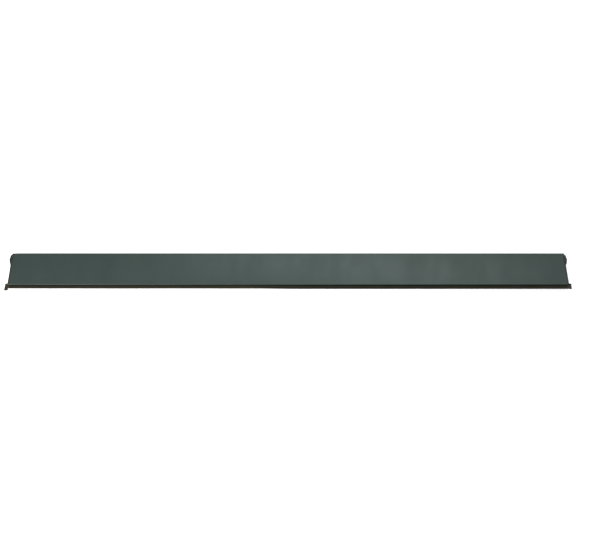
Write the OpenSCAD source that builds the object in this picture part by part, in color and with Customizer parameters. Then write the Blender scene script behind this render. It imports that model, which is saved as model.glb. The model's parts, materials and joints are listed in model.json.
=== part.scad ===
// Surface-mounted door sweep: a screwed base rail, a clip-on cover without visible
// fasteners, a two-bladed rubber insert, foam back gaskets and screwed end caps.
// The sweep lies on its back. X runs along it, +Y points up the door, +Z out of the door.
// The origin is the centre of the back face that rests on the door. Millimetres.

/* [Overall] */
// Length over the end caps
overall_len = 914.4; // [600:0.1:1220]
// Height of the cover's face
face_h = 54; // [53:0.1:60]
// Depth from the door to the cover's face
carrier_d = 10.6; // [10.4:0.1:13]

/* [Metal] */
// Wall of the clip-on cover
cover_wall = 1.4; // [1:0.1:1.6]
// Wall of the base rail
rail_wall = 1.6; // [1.4:0.1:2]
// Outer corner radius of the cover's long edges
cover_r = 1.6; // [1:0.1:2]
// How far the cover's lower edge hangs past the rail
cover_drop = 1.6; // [1.5:0.1:2]

/* [Screw holes] */
// Pitch of the upright slots along the rail
slot_pitch = 152.4; // [120:0.1:200]
// Number of upright slots, an even number
slot_count = 6; // [2:2:6]
// Width of a slot
slot_w = 5; // [4:0.1:6]
// End-to-end length of a slot
slot_len = 11; // [8:0.5:12]
// Radius of a round locking hole
lock_r = 2.25; // [1.8:0.05:3]
// Distance from the centre to the inner locking holes
lock_inner_x = 114.3; // [100:0.1:120]
// Distance from the centre to the outer locking holes
lock_outer_x = 419.1; // [400:0.1:430]

/* [Rubber insert] */
// How far the rubber stands past each end cap
insert_over = 4.7; // [0:0.1:8]
// Thickness of the front blade
front_t = 1.7; // [1.2:0.1:2]
// Thickness of the rear blade
rear_t = 1.4; // [1:0.1:1.6]
// Radius of the front blade's outward curl
curl_r = 13; // [9:0.5:14]
// Lean of the front blade away from the door, at its root
curl_start = 20; // [15:1:25]
// Lean of the front blade away from the door, at its tip
curl_end = 57; // [45:1:60]
// How far the rear blade's tip reaches past the cover's lower edge
rear_reach = 3.9; // [3.5:0.1:5]
// Gap round each blade's root bead
bead_gap = 0.3; // [0.2:0.05:0.4]

/* [End caps] */
// Thickness of an end cap's plate
cap_t = 3; // [2:0.1:4]
// Radius of the cap's upper and front corners
cap_r = 2.8; // [1:0.1:2.9]
// Length of the cap's plug inside the cover
plug_len = 7; // [4:0.5:10]
// How far the boss round the cap's screw stands out
boss_h = 2.2; // [0.6:0.1:3]
// Height of that boss, up the cap
boss_len = 17.5; // [12:0.5:18]

/* [Screws] */
// Head radius of the end cap's screw
head_r = 4.2; // [4:0.05:4.8]
// Head height of the end cap's screw
head_h = 1.8; // [1.6:0.1:3]
// Shank radius of the end cap's screw
shank_r = 1.75; // [1.4:0.05:2]
// Shank length of the end cap's screw
shank_len = 16; // [12:1:20]

/* [Hidden] */
$fn = 64;
eps = 0.01;

slate = [0.27, 0.32, 0.31];
slate_dark = [0.2, 0.24, 0.23];
mill = [0.62, 0.64, 0.66];
black_rubber = [0.11, 0.11, 0.09];
grey_foam = [0.3, 0.3, 0.31];
dark_steel = [0.16, 0.17, 0.17];

top_y = face_h / 2;
bottom_y = -face_h / 2;
rail_low = bottom_y + cover_drop;
half_len = overall_len / 2;
metal_half = half_len - cap_t;
insert_half = half_len + insert_over;
cover_in = carrier_d - cover_wall;

// Channels in the back of the rail that hold the gaskets, as their lowest and highest Y
gasket_d = 1.2;
gasket_clear = 0.1;
upper_channel = [13, 22.5];
lower_channel = [-23, -13];

// Clip fingers: the rail's fingers and the cover's beads that catch behind theirs
clip_r = 0.5;
clip_gap = 0.5;
clip_catch = 0.45;
finger_t = 1.4;
finger_top = 7;
upper_finger_y = top_y - cover_wall - clip_gap;
lower_finger_y = -10.9;
rail_bead_z = 6.3;
cover_bead_z = 5.1;

// Screw port, a round channel open along the rail
port_y = 16.8;
port_z = 5.25;
port_r = 1.8;
port_wall = 1.4;
port_mouth = 1.6;

// T-slot that holds the insert, with its mouth at the rail's lower edge
jaw_front = carrier_d - cover_wall - 0.4;
jaw_top = -17.4;
jaw_wall = 1.3;
lip_z = 0.9;
jaw_back = gasket_d + rail_wall;
slot_mid = (jaw_back + jaw_front - jaw_wall) / 2;
slot_half = (jaw_front - jaw_wall - jaw_back) / 2;
insert_clear = 0.12;
head_low_y = rail_low + jaw_wall + insert_clear;

// Blade roots
bead_r = 1.05;
front_hinge = [rail_low - 2.4, 6.9];
rear_hinge = [rail_low - 2, 3.4];
rear_tip_z = 0.75;

// Height of the row of slots and locking holes
hole_y = -1;

// Turns a drawing in (Y, Z) into a bar that runs along X, centred on x = 0
module bar(half) {
  translate([-half, 0, 0])
    rotate([90, 0, 90])
      linear_extrude(height = 2 * half)
        children();
}

// Rectangle given by its lowest and highest corners
module rect(low, high) {
  translate(low)
    square(high - low);
}

// Straight strip from p to q, with round ends of its own half thickness
module strip(p, q, t) {
  span = q - p;
  translate(p)
    rotate(atan2(span[1], span[0])) {
      translate([0, -t / 2])
        square([norm(span), t]);
      circle(r = t / 2);
      translate([norm(span), 0])
        circle(r = t / 2);
    }
}

// Arc of constant thickness, from angle a to angle b, under 180 degrees
module arc(r, t, a, b) {
  reach = 2 * (r + t);
  mid = (a + b) / 2;
  intersection() {
    difference() {
      circle(r = r + t / 2);
      circle(r = r - t / 2);
    }
    polygon([
      [0, 0],
      [reach * cos(a), reach * sin(a)],
      [reach * cos(mid), reach * sin(mid)],
      [reach * cos(b), reach * sin(b)]
    ]);
  }
}

module slot_positions() {
  for (i = [0 : slot_count - 1])
    translate([(i - (slot_count - 1) / 2) * slot_pitch, hole_y, 0])
      children();
}

module rail_profile() {
  difference() {
    union() {
      rect([rail_low, 0], [upper_finger_y, rail_wall]);
      rect([rail_low, 0], [lower_channel[1] + rail_wall, jaw_back]);
      rect([upper_channel[0] - rail_wall, 0], [upper_finger_y, jaw_back]);
    }
    for (channel = [lower_channel, upper_channel])
      rect([channel[0], -1], [channel[1], gasket_d]);
  }
  clip_fingers();
  screw_port();
  jaw();
}

module clip_fingers() {
  rect([upper_finger_y - finger_t, 0], [upper_finger_y, finger_top]);
  translate([upper_finger_y - clip_r + clip_catch, rail_bead_z])
    circle(r = clip_r);
  rect([lower_finger_y, 0], [lower_finger_y + finger_t, finger_top]);
  translate([lower_finger_y + clip_r - clip_catch, rail_bead_z])
    circle(r = clip_r);
}

module screw_port() {
  difference() {
    translate([port_y, port_z])
      circle(r = port_r + port_wall);
    translate([port_y, port_z])
      circle(r = port_r);
    rect([port_y - port_mouth / 2, port_z], [port_y + port_mouth / 2, carrier_d]);
  }
}

module jaw() {
  difference() {
    rect([rail_low, gasket_d], [jaw_top, jaw_front]);
    rect([rail_low + jaw_wall, jaw_back], [jaw_top - jaw_wall, jaw_front - jaw_wall]);
    rect([rail_low - 1, jaw_back + lip_z], [jaw_top - 2 * jaw_wall, jaw_front - jaw_wall - lip_z]);
  }
}

// Extruded aluminium rail that is screwed to the door
module base_rail() {
  color(mill)
    difference() {
      bar(metal_half)
        rail_profile();
      slot_positions()
        upright_slot();
      for (x = [-lock_outer_x, -lock_inner_x, lock_inner_x, lock_outer_x])
        translate([x, hole_y, -1])
          cylinder(r = lock_r, h = rail_wall + 2);
    }
}

module upright_slot() {
  straight = slot_len - slot_w;
  translate([-slot_w / 2, -straight / 2, -1])
    cube([slot_w, straight, rail_wall + 2]);
  for (y = [-straight / 2, straight / 2])
    translate([0, y, -1])
      cylinder(d = slot_w, h = rail_wall + 2);
}

// Outer outline of the cover, with its two front corners rounded
module cover_outline() {
  difference() {
    rect([bottom_y, 0.5], [top_y, carrier_d]);
    for (side = [-1, 1])
      difference() {
        translate([side * (top_y - cover_r / 2), carrier_d - cover_r / 2])
          square(cover_r + eps, center = true);
        translate([side * (top_y - cover_r), carrier_d - cover_r])
          circle(r = cover_r);
      }
  }
}

module cover_profile() {
  rib_y = lower_finger_y - clip_gap;
  difference() {
    cover_outline();
    rect([bottom_y + cover_wall, -1], [top_y - cover_wall, cover_in]);
    rect([bottom_y - 1, -1], [bottom_y + cover_wall + eps, jaw_front + 0.1]);
  }
  translate([top_y - cover_wall - clip_catch + clip_r, cover_bead_z])
    circle(r = clip_r);
  rect([rib_y - finger_t, 3.8], [rib_y, cover_in + eps]);
  translate([rib_y + clip_catch - clip_r, cover_bead_z])
    circle(r = clip_r);
}

// Plain extruded cover that clips over the rail and hides its screws
module face_cover() {
  color(slate)
    bar(metal_half)
      cover_profile();
}

// The insert's head, which fills the T-slot
module insert_head() {
  rect([head_low_y, slot_mid - slot_half + insert_clear],
    [jaw_top - jaw_wall - insert_clear, slot_mid + slot_half - insert_clear]);
}

// The insert's neck and foot, with a round socket for the root of each blade
module insert_foot() {
  neck = slot_half - lip_z - insert_clear;
  foot_y = rail_low - insert_clear;
  rect([foot_y - 0.4, slot_mid - neck], [head_low_y + eps, slot_mid + neck]);
  difference() {
    union() {
      rect([foot_y - 2.4, rear_hinge[1] - 0.4], [foot_y, front_hinge[1] + 0.2]);
      strip([foot_y - 0.5, 2.6], [foot_y - 0.5, jaw_front - 0.6], 1);
    }
    translate(front_hinge)
      circle(r = bead_r + bead_gap);
    translate(rear_hinge)
      circle(r = bead_r + bead_gap);
    rect([foot_y - 5, front_hinge[1]], [front_hinge[0] + 0.6, carrier_d]);
    rect([foot_y - 5, 0], [rear_hinge[0] + 0.4, rear_hinge[1]]);
  }
}

// Root of the rubber insert: its foot stands past the end caps as far as the blades do
module insert_root() {
  color(black_rubber) {
    bar(half_len)
      insert_head();
    bar(insert_half)
      insert_foot();
  }
}

// Front blade: from its bead under the cover's lower edge it curls outwards to a round tip
module front_blade() {
  centre = front_hinge + curl_r * [sin(curl_start), cos(curl_start)];
  tip = centre - curl_r * [sin(curl_end), cos(curl_end)];
  color(black_rubber)
    bar(insert_half) {
      translate(front_hinge)
        circle(r = bead_r);
      translate(centre)
        arc(curl_r, front_t, 270 - curl_end, 270 - curl_start);
      translate(tip)
        circle(r = front_t / 2);
    }
}

// Rear blade: a short straight fin that stays just clear of the floor
module rear_blade() {
  tip = [bottom_y - rear_reach + rear_t / 2, rear_tip_z + rear_t / 2];
  color(black_rubber)
    bar(insert_half) {
      translate(rear_hinge)
        circle(r = bead_r);
      strip(rear_hinge, tip, rear_t);
    }
}

// Foam strip that lies in a channel of the rail, level with the back face
module gasket(channel) {
  color(grey_foam)
    bar(metal_half)
      rect([channel[0] + gasket_clear, 0], [channel[1] - gasket_clear, gasket_d]);
}

module back_gasket_upper() {
  gasket(upper_channel);
}

module back_gasket_lower() {
  gasket(lower_channel);
}

// End cap for the +X end: a plate with rounded outer corners, a boss round its screw and
// a plug behind it
module end_cap() {
  color(slate_dark)
    difference() {
      union() {
        cap_plate();
        cap_boss();
        cap_plug();
      }
      translate([metal_half - 1, port_y, port_z])
        rotate([0, 90, 0])
          cylinder(r = shank_r + 0.25, h = cap_t + boss_h + 2);
    }
}

// Upright stadium on the plate's outer face, under the screw's head
module cap_boss() {
  boss_r = 4.85;
  half_straight = boss_len / 2 - boss_r;
  translate([half_len - eps + boss_h / 2, port_y, port_z])
    bar(boss_h / 2 + eps) {
      square([2 * half_straight, 2 * boss_r], center = true);
      for (side = [-1, 1])
        translate([side * half_straight, 0])
          circle(r = boss_r);
    }
}

module cap_plate() {
  intersection() {
    translate([metal_half + cap_t / 2, 0, 0])
      bar(cap_t / 2)
        difference() {
          cover_outline();
          rect([bottom_y - 1, -1], [jaw_top, jaw_front + 0.1]);
        }
    linear_extrude(height = carrier_d)
      difference() {
        rect([0, bottom_y], [half_len, top_y]);
        for (side = [-1, 1])
          cap_corner([half_len, side * top_y], side);
      }
    translate([0, top_y + 1, 0])
      rotate([90, 0, 0])
        linear_extrude(height = face_h + 2)
          difference() {
            rect([0, 0], [half_len, carrier_d]);
            cap_corner([half_len, carrier_d], 1, 1.2);
          }
  }
}

// The sliver that rounds off an outer corner of the end cap
module cap_corner(corner, side, r = cap_r) {
  centre = corner - [r, side * r];
  difference() {
    translate((centre + corner) / 2 + [eps, side * eps] / 2)
      square(r + eps, center = true);
    translate(centre)
      circle(r = r);
  }
}

module cap_plug() {
  plug_wall = 1.3;
  translate([metal_half - plug_len / 2, 0, 0])
    bar(plug_len / 2 + eps)
      difference() {
        rect([lower_finger_y + finger_t + 0.3, jaw_back + 0.2], [port_y - 4.2, cover_in - 0.1]);
        rect([lower_finger_y + finger_t + 0.3 + plug_wall, jaw_back + 0.2 + plug_wall],
          [port_y - 4.2 - plug_wall, cover_in - 0.1 - plug_wall]);
      }
}

module end_cap_right() {
  end_cap();
}

module end_cap_left() {
  mirror([1, 0, 0])
    end_cap();
}

// Pan head screw with a cross recess, driven along -X into the rail's screw port
module cap_screw() {
  dome = 0.7;
  recess = 1.1;
  color(dark_steel)
    translate([half_len + boss_h, port_y, port_z])
      rotate([0, 90, 0])
        difference() {
          union() {
            rotate_extrude()
              intersection() {
                union() {
                  square([head_r - dome, head_h]);
                  square([head_r, head_h - dome]);
                  translate([head_r - dome, head_h - dome])
                    circle(r = dome);
                }
                square([head_r + 1, head_h + 1]);
              }
            translate([0, 0, -shank_len])
              cylinder(r = shank_r, h = shank_len + eps);
          }
          for (turn = [0, 90])
            rotate(turn)
              translate([-2.2, -0.45, head_h - recess])
                cube([4.4, 0.9, recess + 1]);
        }
}

module end_cap_screw_right() {
  cap_screw();
}

module end_cap_screw_left() {
  mirror([1, 0, 0])
    cap_screw();
}

base_rail();
face_cover();
insert_root();
front_blade();
rear_blade();
back_gasket_upper();
back_gasket_lower();
end_cap_left();
end_cap_right();
end_cap_screw_left();
end_cap_screw_right();
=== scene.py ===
"""Looks of the door sweep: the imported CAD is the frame, and the visible rubber, foam, coated
cover and screws are built here in detail. Profile sizes are in millimetres and are scaled once,
in bar(). The sweep lies on its back: X along it, +Y up the door, +Z out of the door."""

import json
import math

import bmesh
import bpy
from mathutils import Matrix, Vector, noise


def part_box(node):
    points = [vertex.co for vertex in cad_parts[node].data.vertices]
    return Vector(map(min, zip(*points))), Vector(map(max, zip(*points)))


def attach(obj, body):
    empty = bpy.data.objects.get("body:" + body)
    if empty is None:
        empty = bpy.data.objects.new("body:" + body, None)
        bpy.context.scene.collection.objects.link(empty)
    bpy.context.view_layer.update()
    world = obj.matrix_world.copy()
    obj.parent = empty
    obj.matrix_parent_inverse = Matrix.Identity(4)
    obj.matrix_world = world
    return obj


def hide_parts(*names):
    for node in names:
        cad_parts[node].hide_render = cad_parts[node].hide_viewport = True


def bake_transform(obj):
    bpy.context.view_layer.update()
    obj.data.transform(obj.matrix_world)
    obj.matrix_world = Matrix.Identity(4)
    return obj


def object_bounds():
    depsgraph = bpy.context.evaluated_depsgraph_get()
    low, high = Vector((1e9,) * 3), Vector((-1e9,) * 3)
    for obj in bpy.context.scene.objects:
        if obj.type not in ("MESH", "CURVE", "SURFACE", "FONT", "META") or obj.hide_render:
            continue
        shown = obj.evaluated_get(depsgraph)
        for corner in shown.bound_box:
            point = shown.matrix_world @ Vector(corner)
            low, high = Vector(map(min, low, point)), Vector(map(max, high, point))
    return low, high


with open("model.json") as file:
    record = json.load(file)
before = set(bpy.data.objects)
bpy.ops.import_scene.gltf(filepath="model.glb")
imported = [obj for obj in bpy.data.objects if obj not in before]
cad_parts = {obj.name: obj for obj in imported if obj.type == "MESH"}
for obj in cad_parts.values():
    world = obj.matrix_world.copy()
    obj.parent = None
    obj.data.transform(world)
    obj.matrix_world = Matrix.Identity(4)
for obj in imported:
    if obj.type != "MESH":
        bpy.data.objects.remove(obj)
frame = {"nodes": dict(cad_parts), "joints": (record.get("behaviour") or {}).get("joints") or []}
cad_low, cad_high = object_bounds()

MM = 0.001
JOINTS = {joint["name"]: joint for joint in frame["joints"]}

# Profile sizes shared with the CAD, in millimetres
COVER_WALL = 1.4
COVER_RADIUS = 1.6
CLIP_RADIUS = 0.5
BOSS = 2.2
FRONT_THICK = 1.7
REAR_THICK = 1.4
CURL_RADIUS = 13
CURL_START = math.radians(20)
CURL_END = math.radians(57)

# Where the sweep sits in the picture, as shares of the frame's width
SHIFT_RIGHT = 0.0197
SHIFT_UP = -0.0039
CAMERA_DISTANCE = 0.900
CAMERA_ELEVATION = math.radians(72.0)
CAMERA_LENS = 32.72
AIM_HEIGHT = 0.005


# ---------------------------------------------------------------- geometry helpers

def box_mm(node):
    """Lowest and highest corner of a CAD node, in millimetres."""
    low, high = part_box(node)
    return low / MM, high / MM


def rounded(corners, steps=5):
    """Closed outline in (Y, Z) whose corners (y, z, radius) are arcs."""
    outline = []
    for i, (y, z, radius) in enumerate(corners):
        here = Vector((y, z))
        before = Vector(corners[i - 1][:2]) - here
        after = Vector(corners[(i + 1) % len(corners)][:2]) - here
        half = before.angle(after) / 2
        cut = min(radius / math.tan(half), 0.49 * before.length, 0.49 * after.length)
        centre = here + (before.normalized() + after.normalized()).normalized() * cut / math.cos(half)
        arm = here + before.normalized() * cut - centre
        swing = arm.angle_signed(here + after.normalized() * cut - centre)
        for k in range(steps + 1):
            turn = -swing * k / steps
            c, s = math.cos(turn), math.sin(turn)
            outline.append((centre.x + arm.x * c - arm.y * s, centre.y + arm.x * s + arm.y * c))
    return outline


def ribbon(line, thick, tip_steps=8):
    """Closed outline round a centreline in (Y, Z). thick(share) gives the thickness from 0, the
    root, to 1, the tip, which is round."""
    points = [Vector(p) for p in line]
    lengths = [0.0]
    for a, b in zip(points, points[1:]):
        lengths.append(lengths[-1] + (b - a).length)
    left, right = [], []
    for i, p in enumerate(points):
        ahead = points[min(i + 1, len(points) - 1)] - points[max(i - 1, 0)]
        side = Vector((-ahead.y, ahead.x)).normalized() * thick(lengths[i] / lengths[-1]) / 2
        left.append(p + side)
        right.append(p - side)
    start = left[-1] - points[-1]
    cap = []
    for k in range(1, tip_steps):
        turn = -math.pi * k / tip_steps
        c, s = math.cos(turn), math.sin(turn)
        cap.append(points[-1] + Vector((start.x * c - start.y * s, start.x * s + start.y * c)))
    return left + cap + right[::-1]


def stations(half, step, end_zone=0.0, end_step=1.0):
    """Places along X from -half to half, closer together within end_zone of each end."""
    inner = half - end_zone
    count = max(1, round(2 * inner / step))
    places = [-inner + 2 * inner * i / count for i in range(count + 1)]
    if end_zone:
        extra = max(1, round(end_zone / end_step))
        ends = [inner + end_zone * (i + 1) / extra for i in range(extra)]
        places = [-x for x in reversed(ends)] + places + ends
    return places


def finish_mesh(name, mesh_data, sharp_degrees):
    """Turns a bmesh into a smooth-shaded object whose edges over sharp_degrees stay sharp."""
    bmesh.ops.recalc_face_normals(mesh_data, faces=mesh_data.faces)
    mesh = bpy.data.meshes.new(name)
    mesh_data.to_mesh(mesh)
    mesh_data.free()
    mesh.shade_smooth()
    mesh.set_sharp_from_angle(angle=math.radians(sharp_degrees))
    piece = bpy.data.objects.new(name, mesh)
    bpy.context.scene.collection.objects.link(piece)
    return piece


def bar(name, places, outline_at, move=None, sharp_degrees=40):
    """Closed bar along X. outline_at(x) gives the outline in (Y, Z) at x, always with as many
    points, and move(x, y, z) may shift a point. All in millimetres."""
    mesh_data = bmesh.new()
    rings = []
    for x in places:
        ring = []
        for y, z in outline_at(x):
            point = move(x, y, z) if move else (x, y, z)
            ring.append(mesh_data.verts.new(Vector(point) * MM))
        rings.append(ring)
    for a, b in zip(rings, rings[1:]):
        for i in range(len(a)):
            j = (i + 1) % len(a)
            mesh_data.faces.new((a[i], a[j], b[j], b[i]))
    mesh_data.faces.new(rings[0])
    mesh_data.faces.new(list(reversed(rings[-1])))
    return finish_mesh(name, mesh_data, sharp_degrees)


def lathe(name, rings, around, sharp_degrees=35):
    """Closed body about the X axis: rings are (x, radius(angle)) from one pole to the other."""
    mesh_data = bmesh.new()
    rows = []
    for x, radius in rings:
        row = []
        for k in range(around):
            angle = 2 * math.pi * k / around
            r = radius(angle)
            row.append(mesh_data.verts.new(Vector((x, r * math.cos(angle), r * math.sin(angle))) * MM))
        rows.append(row)
    for a, b in zip(rows, rows[1:]):
        for k in range(around):
            j = (k + 1) % around
            mesh_data.faces.new((a[k], a[j], b[j], b[k]))
    for row in (rows[0], rows[-1]):
        pole = mesh_data.verts.new(sum((v.co for v in row), Vector()) / around)
        for k in range(around):
            mesh_data.faces.new((row[k], row[(k + 1) % around], pole))
    return finish_mesh(name, mesh_data, sharp_degrees)


def hinge_mm(name):
    """Where a blade's hinge line crosses the (Y, Z) plane, in millimetres."""
    place = JOINTS[name]["pos_m"]
    return place[1] / MM, place[2] / MM


def smooth_step(t):
    t = min(1.0, max(0.0, t))
    return t * t * (3 - 2 * t)


def ripple(x, seed, length):
    """Slow random wave along X, from about -1 to 1."""
    return noise.noise(Vector((x / length, seed, 0.37 * seed)))


# ---------------------------------------------------------------- materials

class Look:
    """A Principled material with procedural nodes in the row frame's own metres."""

    def __init__(self, name, roughness, metallic=0.0, specular=0.5):
        self.material = bpy.data.materials.new(name)
        self.material.use_nodes = True
        self.tree = self.material.node_tree
        self.shader = self.tree.nodes["Principled BSDF"]
        self.shader.inputs["Roughness"].default_value = roughness
        self.shader.inputs["Metallic"].default_value = metallic
        self.shader.inputs["Specular IOR Level"].default_value = specular
        self.places = self.tree.nodes.new("ShaderNodeTexCoord").outputs["Object"]
        self.height = None

    def link(self, a, b):
        self.tree.links.new(a, b)

    def stretched(self, stretch):
        mapping = self.tree.nodes.new("ShaderNodeMapping")
        mapping.inputs["Scale"].default_value = stretch
        self.link(self.places, mapping.inputs["Vector"])
        return mapping.outputs["Vector"]

    def noise(self, size_mm, detail=2.0, stretch=(1, 1, 1), rough=0.5):
        """Noise whose features are about size_mm across, longer where stretch is under 1."""
        texture = self.tree.nodes.new("ShaderNodeTexNoise")
        texture.inputs["Scale"].default_value = 1 / (size_mm * MM)
        texture.inputs["Detail"].default_value = detail
        texture.inputs["Roughness"].default_value = rough
        self.link(self.stretched(stretch), texture.inputs["Vector"])
        return texture.outputs["Fac"]

    def cells(self, size_mm, stretch=(1, 1, 1)):
        texture = self.tree.nodes.new("ShaderNodeTexVoronoi")
        texture.inputs["Scale"].default_value = 1 / (size_mm * MM)
        self.link(self.stretched(stretch), texture.inputs["Vector"])
        return texture.outputs["Distance"]

    def spread(self, value, low, high, start=0.35, end=0.65):
        """value between start and end, mapped to low and high."""
        remap = self.tree.nodes.new("ShaderNodeMapRange")
        for socket, number in zip(("From Min", "From Max", "To Min", "To Max"), (start, end, low, high)):
            remap.inputs[socket].default_value = number
        self.link(value, remap.inputs["Value"])
        return remap.outputs["Result"]

    def leftward(self, value, share, start, end):
        """Adds to value a share that grows from 0 to share as X goes from start to end metres."""
        split = self.tree.nodes.new("ShaderNodeSeparateXYZ")
        self.link(self.places, split.inputs["Vector"])
        total = self.tree.nodes.new("ShaderNodeMath")
        self.link(value, total.inputs[0])
        self.link(self.spread(split.outputs["X"], 0, share, start, end), total.inputs[1])
        return total.outputs["Value"]

    def colour(self, value, dark, light, start=0.35, end=0.65):
        """Base colour from dark to light as value goes from start to end."""
        mix = self.tree.nodes.new("ShaderNodeMix")
        mix.data_type = "RGBA"
        mix.inputs["A"].default_value = (*dark, 1)
        mix.inputs["B"].default_value = (*light, 1)
        self.link(self.spread(value, 0, 1, start, end), mix.inputs["Factor"])
        self.link(mix.outputs["Result"], self.shader.inputs["Base Color"])
        return mix.outputs["Result"]

    def roughness(self, value, low, high):
        self.link(self.spread(value, low, high), self.shader.inputs["Roughness"])

    def bump(self, value, depth_mm, strength=1.0):
        """Adds relief of depth_mm over what is there already."""
        relief = self.tree.nodes.new("ShaderNodeBump")
        relief.inputs["Strength"].default_value = strength
        relief.inputs["Distance"].default_value = depth_mm * MM
        self.link(value, relief.inputs["Height"])
        if self.height:
            self.link(self.height, relief.inputs["Normal"])
        self.height = relief.outputs["Normal"]
        self.link(self.height, self.shader.inputs["Normal"])


ALONG = (0.004, 1, 1)


def slate_coating():
    """Satin powder coat on an extrusion: fine grain, slow waves and faint lines along it."""
    look = Look("slate_coating", roughness=0.42, specular=0.5)
    look.shader.inputs["Specular Tint"].default_value = (0.84, 1, 0.97, 1)
    patches = look.noise(55, detail=4, stretch=(1, 0.45, 1), rough=0.6)
    look.colour(patches, (0.0245, 0.037, 0.033), (0.0285, 0.042, 0.0375))
    look.roughness(look.noise(24, detail=3, stretch=(1, 0.5, 1)), 0.38, 0.46)
    look.bump(look.noise(30, detail=2, stretch=(0.5, 0.6, 1)), 0.04, 0.3)
    look.bump(look.noise(0.8, stretch=ALONG), 0.01, 0.25)
    look.bump(look.noise(0.45, detail=3), 0.012, 0.5)
    return look.material


def cap_plastic():
    """Moulded end cap: the coating's slate a shade darker, with an even spark texture."""
    look = Look("cap_plastic", roughness=0.5, specular=0.45)
    look.colour(look.noise(9, detail=4), (0.013, 0.018, 0.016), (0.018, 0.024, 0.021))
    look.roughness(look.noise(2.5), 0.46, 0.56)
    look.bump(look.noise(0.35, detail=4, rough=0.7), 0.02, 0.6)
    return look.material


def blade_rubber():
    """Dark olive-black rubber with die lines along it, a random dusty bloom, and painted light that
    makes it lighter towards the left, taken back at the very left end.
    """
    look = Look("blade_rubber", roughness=0.42, specular=0.5)
    bloom_and_painted_light = look.noise(18, detail=5, stretch=(0.35, 1, 1), rough=0.65)
    # painted light: lighter towards the left, as if lit by the front-left lamp; the next line takes it
    # back at the very left end
    bloom_and_painted_light = look.leftward(bloom_and_painted_light, 0.9, 0.03, -0.06)
    bloom_and_painted_light = look.leftward(bloom_and_painted_light, -0.8, -0.446, -0.455)
    look.colour(bloom_and_painted_light, (0.012, 0.0115, 0.0055), (0.044, 0.0415, 0.025), 0.3, 1.5)
    look.roughness(look.noise(6, detail=3, stretch=(0.3, 1, 1)), 0.36, 0.48)
    look.bump(look.noise(0.5, stretch=ALONG), 0.02, 0.5)
    look.bump(look.noise(0.3, detail=3), 0.01, 0.4)
    return look.material


def rail_aluminium():
    """Mill-finish extrusion: bright metal with long die lines and dull handling patches."""
    look = Look("rail_aluminium", roughness=0.34, metallic=1.0)
    lines = look.noise(0.7, detail=3, stretch=ALONG)
    look.colour(lines, (0.50, 0.52, 0.53), (0.64, 0.66, 0.67))
    look.roughness(look.noise(14, detail=5, rough=0.7), 0.28, 0.46)
    look.bump(lines, 0.012, 0.5)
    return look.material


def gasket_foam():
    """Closed-cell foam: near-black, matte, with open pores where it was slit, their hollows painted
    darker as shade.
    """
    look = Look("gasket_foam", roughness=0.9, specular=0.2)
    pores_and_painted_shade = look.cells(0.7)
    # painted shade: darker towards the middle of each pore, where its hollow is in shade
    look.colour(pores_and_painted_shade, (0.012, 0.012, 0.013), (0.04, 0.04, 0.042), 0.0, 0.6)
    look.bump(pores_and_painted_shade, 0.12, 0.8)
    look.bump(look.noise(4, detail=3), 0.2, 0.5)
    return look.material


def screw_steel():
    """Black-oxide steel, a little bare on its high spots."""
    look = Look("screw_steel", roughness=0.38, metallic=0.85)
    wear = look.noise(1.3, detail=5, rough=0.7)
    look.colour(wear, (0.035, 0.038, 0.038), (0.085, 0.09, 0.09), 0.45, 0.7)
    look.roughness(wear, 0.3, 0.5)
    look.bump(look.noise(0.25, detail=2), 0.01, 0.5)
    return look.material


def dress(piece, material):
    piece.data.materials.clear()
    piece.data.materials.append(material)


# ---------------------------------------------------------------- the pieces

def build_cover(material):
    """Clip-on cover: a C-section with rounded long edges, a clip rib and two clip beads."""
    low, high = box_mm("face_cover")
    rail_high = box_mm("base_rail")[1]
    inner = high.z - COVER_WALL
    top = high.y - COVER_WALL
    hang = 0.4
    edge = low.y - hang
    edge_z = rail_high.z + 0.1
    rib = -11.4
    rib_foot = 3.8
    bead_z = 5.1
    bead_half = 0.35
    catch = 0.45
    bead = [
        (rib, bead_z - CLIP_RADIUS, 0.15),
        (rib + catch, bead_z - bead_half, 0.2),
        (rib + catch, bead_z + bead_half, 0.2),
        (rib, bead_z + CLIP_RADIUS, 0.15),
    ]
    catcher = [
        (top, bead_z + CLIP_RADIUS, 0.15),
        (top - catch, bead_z + bead_half, 0.2),
        (top - catch, bead_z - bead_half, 0.2),
        (top, bead_z - CLIP_RADIUS, 0.15),
    ]
    corners = [
        (high.y, low.z, 0.25),
        (high.y, high.z, COVER_RADIUS),
        (edge, high.z, COVER_RADIUS),
        (edge, edge_z, 0.2),
        (low.y + COVER_WALL, edge_z, 0.1),
        (low.y + COVER_WALL, inner, 0.1),
        (rib - COVER_WALL, inner, 0.4),
        (rib - COVER_WALL, rib_foot, 0.3),
        (rib, rib_foot, 0.3),
        *bead,
        (rib, inner, 0.4),
        (top, inner, 0.5),
        *catcher,
        (top, low.z, 0.25),
    ]
    outline = rounded(corners, steps=7)
    cover = bar("cover_skin", stations(high.x, 8), lambda x: outline)
    dress(cover, material)
    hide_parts("face_cover")
    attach(cover, "carrier")


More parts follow.
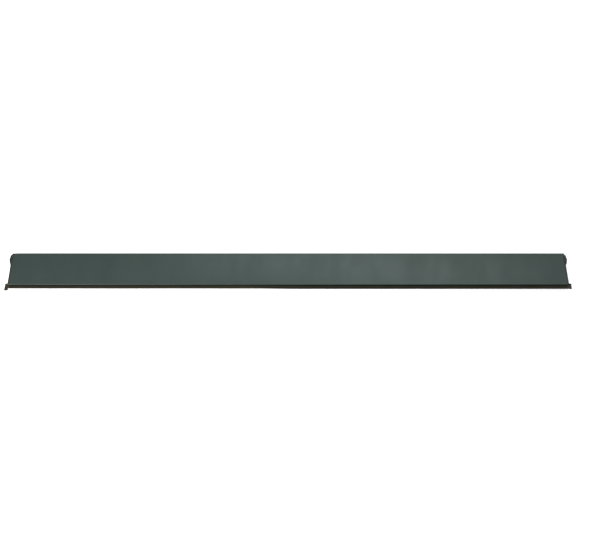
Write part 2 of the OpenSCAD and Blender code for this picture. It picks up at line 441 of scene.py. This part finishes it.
def build_insert(material):
    """Root of the rubber insert: a T-shaped head, a neck and the foot that carries the blades.
    The head stops at the end caps, and the neck and foot run on past them."""
    low, high = box_mm("insert_root")
    cap = box_mm("end_cap_right")[1].x - BOSS
    clearance = 0.12
    mouth = box_mm("base_rail")[0].y - clearance
    middle = 5.15
    head, neck, ear, foot = 2.23, 1.33, 3.45, 2.15
    neck_length = 1.54
    head_cut = 0.8
    half_outline = [
        (high.y, head, 0.4),
        (mouth + neck_length, head, 0.25),
        (mouth + neck_length, neck, 0.15),
        (mouth, neck, 0.15),
        (mouth, ear, 0.3),
        (mouth - 0.9, ear, 0.35),
        (mouth - 1.3, foot, 0.6),
        (low.y, foot * 0.75, 0.8),
    ]
    front = [(y, middle + z, r) for y, z, r in half_outline]
    back = [(y, middle - z, r) for y, z, r in reversed(half_outline)]
    outline = rounded(front + back)

    def outline_at(x):
        if abs(x) < cap:
            return outline
        shrunk = []
        for y, z in outline:
            inside = max(0.0, y - mouth - 0.01)
            narrow = neck / head if inside else 1
            shrunk.append((y - inside * head_cut, middle + (z - middle) * narrow))
        return shrunk

    end = high.x - 0.01
    places = [-end, -cap - 0.02, *stations(cap - 0.02, 8), cap + 0.02, end]
    root = bar("insert_root_skin", places, outline_at)
    dress(root, material)
    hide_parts("insert_root")
    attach(root, "carrier")


def curl(hinge, start, end, length, steps):
    """Points from the hinge along a blade whose lean out of the door's plane goes evenly from
    start to end."""
    points = [hinge]
    for k in range(steps):
        lean = start + (end - start) * (k + 0.5) / steps
        y, z = points[-1]
        points.append((y - math.cos(lean) * length / steps, z + math.sin(lean) * length / steps))
    return points


def end_share(x, half, zone):
    """0 along the bar, rising to 1 over the last zone before either end."""
    return smooth_step((abs(x) - half + zone) / zone)


def build_front_blade(material):
    """Front blade, one with the foot: it curls outwards from under the cover, waves slightly
    along its length, and its free ends past the caps droop. The right end is cut shorter."""
    half = box_mm("front_blade")[1].x
    hinge = hinge_mm("front_blade_flex")
    length = CURL_RADIUS * (CURL_END - CURL_START)
    left_tail, right_tail = 9, 7
    droop, pucker, trim = 0.8, 0.1, 0.3

    def outline_at(x):
        beyond = abs(x) - half + (left_tail if x < 0 else right_tail)
        loose = smooth_step(beyond / 3.5)
        slack = droop * loose - pucker * math.exp(-(beyond / 1.2) ** 2)
        reach = length * (1 if x < 0 else 1 - trim * loose)
        rightward = smooth_step((x + 50) / 60)
        wave = math.radians(1.5) * ripple(x, 3.1, 120)
        wave = wave - math.radians(5) * rightward + math.radians(2)
        start = CURL_START * (1 - slack) + wave
        end = CURL_END * (1 - slack) + wave + math.radians(-8) * slack
        root = [(hinge[0] + 1.3, hinge[1] - 0.9), (hinge[0] + 0.6, hinge[1] - 0.35)]
        line = root + curl(hinge, start, end, reach, 22)
        return ribbon(line, lambda share: FRONT_THICK - 0.6 * smooth_step((share - 0.4) / 0.6))

    blade = bar("front_blade_skin", stations(half - 0.2, 6, 12, 0.5), outline_at)
    dress(blade, material)
    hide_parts("front_blade")
    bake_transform(blade)


def build_rear_blade(material):
    """Rear blade: a short tapered fin rooted on the hinge line of its own joint."""
    low, high = box_mm("rear_blade")
    hinge = hinge_mm("rear_blade_flex")
    tip = Vector((low.y + REAR_THICK / 2, low.z + REAR_THICK / 2))
    reach = tip - Vector(hinge)
    lean = math.atan2(reach.y, -reach.x)

    def outline_at(x):
        sag = math.radians(1.5 * abs(ripple(x, 7.7, 90)) + 4 * end_share(x, high.x, 8))
        root = [(hinge[0] + 1.4, hinge[1] + 0.9), (hinge[0] + 0.7, hinge[1] + 0.45)]
        line = root + curl(hinge, lean, lean + sag, reach.length, 10)
        return ribbon(line, lambda share: REAR_THICK - 0.45 * smooth_step((share - 0.4) / 0.6))

    blade = bar("rear_blade_skin", stations(high.x - 0.35, 6, 16, 1.0), outline_at)
    dress(blade, material)
    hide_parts("rear_blade")
    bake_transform(blade)


def build_gasket(node, material, seed):
    """Foam strip pressed into its channel, its lower corners soft and its face a little uneven."""
    low, high = box_mm(node)
    corners = [
        (low.y, low.z, 0.35),
        (high.y, low.z, 0.35),
        (high.y, high.z, 0.15),
        (low.y, high.z, 0.15),
    ]
    sides = rounded(corners, steps=4)

    def move(x, y, z):
        if z > (low.z + high.z) / 2:
            return (x, y, z)
        return (x, y, z + 0.12 * abs(ripple(x, seed, 22)))

    strip = bar(node + "_skin", stations(high.x, 5), lambda x: sides, move)
    dress(strip, material)
    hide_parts(node)
    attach(strip, "carrier")


def cross_cutter(name, depth, x):
    """Tapered cross that cuts the recess in a screw head, its mouth at x on the X axis."""
    mesh_data = bmesh.new()
    rings = []
    for place, reach, half in ((x + 0.2, 2.4, 0.55), (x - depth, 1.2, 0.4)):
        ring = []
        for quarter in range(4):
            c, s = math.cos(quarter * math.pi / 2), math.sin(quarter * math.pi / 2)
            for y, z in ((reach, -half), (reach, half), (half, half)):
                point = Vector((place, y * c - z * s, y * s + z * c)) * MM
                ring.append(mesh_data.verts.new(point))
        rings.append(ring)
    mouth, floor = rings
    mesh_data.faces.new(mouth)
    mesh_data.faces.new(floor[::-1])
    for i in range(len(mouth)):
        j = (i + 1) % len(mouth)
        mesh_data.faces.new((mouth[i], floor[i], floor[j], mouth[j]))
    return finish_mesh(name, mesh_data, 30)


def build_screw(node, material, side):
    """Pan head screw with a cross recess and a thread that cuts into the rail's port."""
    low, high = box_mm(node)
    axis_y, axis_z = (low.y + high.y) / 2, (low.z + high.z) / 2
    plate = box_mm("end_cap_right")[1].x
    head_radius = (high.y - low.y) / 2
    head_height = (high.x - plate) if side > 0 else (-plate - low.x)
    shank, pitch, root, crest = 16.0, 1.4, 1.3, 1.75
    point_length = 2.5
    under_radius = 0.25
    crown, crown_rise = 0.9, 0.6
    steps = 96
    rings = []
    for i in range(steps + 1):
        x = -shank + shank * i / steps
        taper = smooth_step((x + shank) / point_length)

        def thread(angle, x=x, taper=taper):
            phase = (x / pitch - angle / (2 * math.pi)) % 1
            ridge = max(0.0, 1 - abs(phase - 0.5) / 0.28)
            return (0.35 + 0.65 * taper) * root + (crest - root) * ridge * taper

        rings.append((x, thread))
    head = [(0.0, head_radius - under_radius)]
    for k in range(4):
        turn = math.pi / 2 * k / 3
        x = under_radius - under_radius * math.cos(turn)
        head.append((x, head_radius - under_radius + under_radius * math.sin(turn)))
    head.append((head_height - crown, head_radius))
    for k in range(1, 10):
        turn = math.pi / 2 * k / 10
        x = head_height - crown + crown_rise * math.sin(turn)
        head.append((x, head_radius - crown * (1 - math.cos(turn))))
    for share in (0.55, 0.35, 0.12):
        head.append((head_height - 0.36 * share ** 2, head_radius * share))
    for x, radius in head:
        rings.append((x, lambda angle, r=radius: r))
    screw = lathe(node + "_body", rings, 48)
    cutter = cross_cutter(node + "_cutter", 1.5, head_height)
    cut = screw.modifiers.new("recess", "BOOLEAN")
    cut.operation = "DIFFERENCE"
    cut.object = cutter
    cut.solver = "EXACT"
    bpy.context.view_layer.update()
    evaluated = screw.evaluated_get(bpy.context.evaluated_depsgraph_get())
    mesh = bpy.data.meshes.new_from_object(evaluated)
    screw.modifiers.clear()
    screw.data = mesh
    bpy.data.objects.remove(cutter)
    for vertex in mesh.vertices:
        x, y, z = vertex.co
        vertex.co = Vector((side * (x + plate * MM), y + axis_y * MM, z + axis_z * MM))
    if side < 0:
        mesh.flip_normals()
    mesh.set_sharp_from_angle(angle=math.radians(35))
    dress(screw, material)
    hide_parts(node)
    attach(screw, "carrier")


def build_softened(node, material, width_mm):
    """Stands for a hard CAD node: a copy of its shape with its edges broken by width_mm."""
    source = frame["nodes"][node]
    mesh_data = bmesh.new()
    mesh_data.from_mesh(source.data)
    bmesh.ops.transform(mesh_data, matrix=source.matrix_world, verts=mesh_data.verts)
    bmesh.ops.remove_doubles(mesh_data, verts=mesh_data.verts, dist=0.002 * MM)
    bmesh.ops.dissolve_limit(
        mesh_data, angle_limit=math.radians(0.5), verts=mesh_data.verts, edges=mesh_data.edges
    )
    piece = finish_mesh(node + "_skin", mesh_data, 35)
    bevel = piece.modifiers.new("bevel", "BEVEL")
    bevel.width = width_mm * MM
    bevel.segments = 2
    bevel.limit_method = "ANGLE"
    bevel.angle_limit = math.radians(35)
    bevel.harden_normals = True
    dress(piece, material)
    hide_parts(node)
    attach(piece, "carrier")


# ---------------------------------------------------------------- floor, light and camera

def build_floor():
    """Plain white table, bright enough to lose the thin strip's own shadow."""
    look = Look("white_table", roughness=0.9, specular=0.1)
    look.colour(look.noise(400), (0.93, 0.93, 0.93), (0.95, 0.95, 0.95))
    look.shader.inputs["Emission Color"].default_value = (1, 1, 1, 1)
    look.shader.inputs["Emission Strength"].default_value = 0.5
    mesh_data = bmesh.new()
    bmesh.ops.create_grid(mesh_data, x_segments=1, y_segments=1, size=8)
    for vertex in mesh_data.verts:
        vertex.co.z = cad_low.z - 0.0003
    floor = finish_mesh("table_top", mesh_data, 30)
    dress(floor, look.material)


def area_light(name, place, target, size, watts):
    data = bpy.data.lights.new(name, "AREA")
    data.shape = "RECTANGLE"
    data.size, data.size_y = size
    data.energy = watts
    light = bpy.data.objects.new(name, data)
    bpy.context.scene.collection.objects.link(light)
    light.location = place
    light.rotation_euler = (Vector(target) - Vector(place)).to_track_quat("-Z", "Y").to_euler()


def build_light():
    """A white tent, one softbox overhead to the right and a stronger one low at the front left."""
    world = bpy.data.worlds.new("white_tent")
    world.use_nodes = True
    world.node_tree.nodes["Background"].inputs["Color"].default_value = (1, 1, 1, 1)
    world.node_tree.nodes["Background"].inputs["Strength"].default_value = 0.4
    bpy.context.scene.world = world
    area_light(
        "overhead", place=(0.24, 0.42, 1.15), target=(0.05, 0, 0), size=(1.3, 0.6), watts=7
    )
    area_light(
        "front_left", place=(-0.62, -0.8, 0.46), target=(-0.25, 0, 0), size=(1.0, 0.7), watts=19
    )
    bpy.context.scene.view_settings.view_transform = "Standard"


def build_camera():
    """Camera over the blade side of the strip, as far away as its perspective says."""
    data = bpy.data.cameras.new("camera")
    data.lens = CAMERA_LENS
    data.shift_x, data.shift_y = SHIFT_RIGHT, SHIFT_UP
    camera = bpy.data.objects.new("camera", data)
    bpy.context.scene.collection.objects.link(camera)
    aim = Vector((0, 0, AIM_HEIGHT))
    back = Vector((0, -math.cos(CAMERA_ELEVATION), math.sin(CAMERA_ELEVATION)))
    camera.location = aim + back * CAMERA_DISTANCE
    camera.rotation_euler = (-back).to_track_quat("-Z", "Y").to_euler()
    bpy.context.scene.camera = camera


build_camera()
coating = slate_coating()
rubber = blade_rubber()
plastic = cap_plastic()
aluminium = rail_aluminium()
foam = gasket_foam()
steel = screw_steel()

build_cover(coating)
build_insert(rubber)
build_front_blade(rubber)
build_rear_blade(rubber)
build_gasket("back_gasket_upper", foam, 1.3)
build_gasket("back_gasket_lower", foam, 5.9)
build_screw("end_cap_screw_right", steel, 1)
build_screw("end_cap_screw_left", steel, -1)
build_softened("base_rail", aluminium, 0.15)
build_softened("end_cap_left", plastic, 0.25)
build_softened("end_cap_right", plastic, 0.25)
build_floor()
build_light()
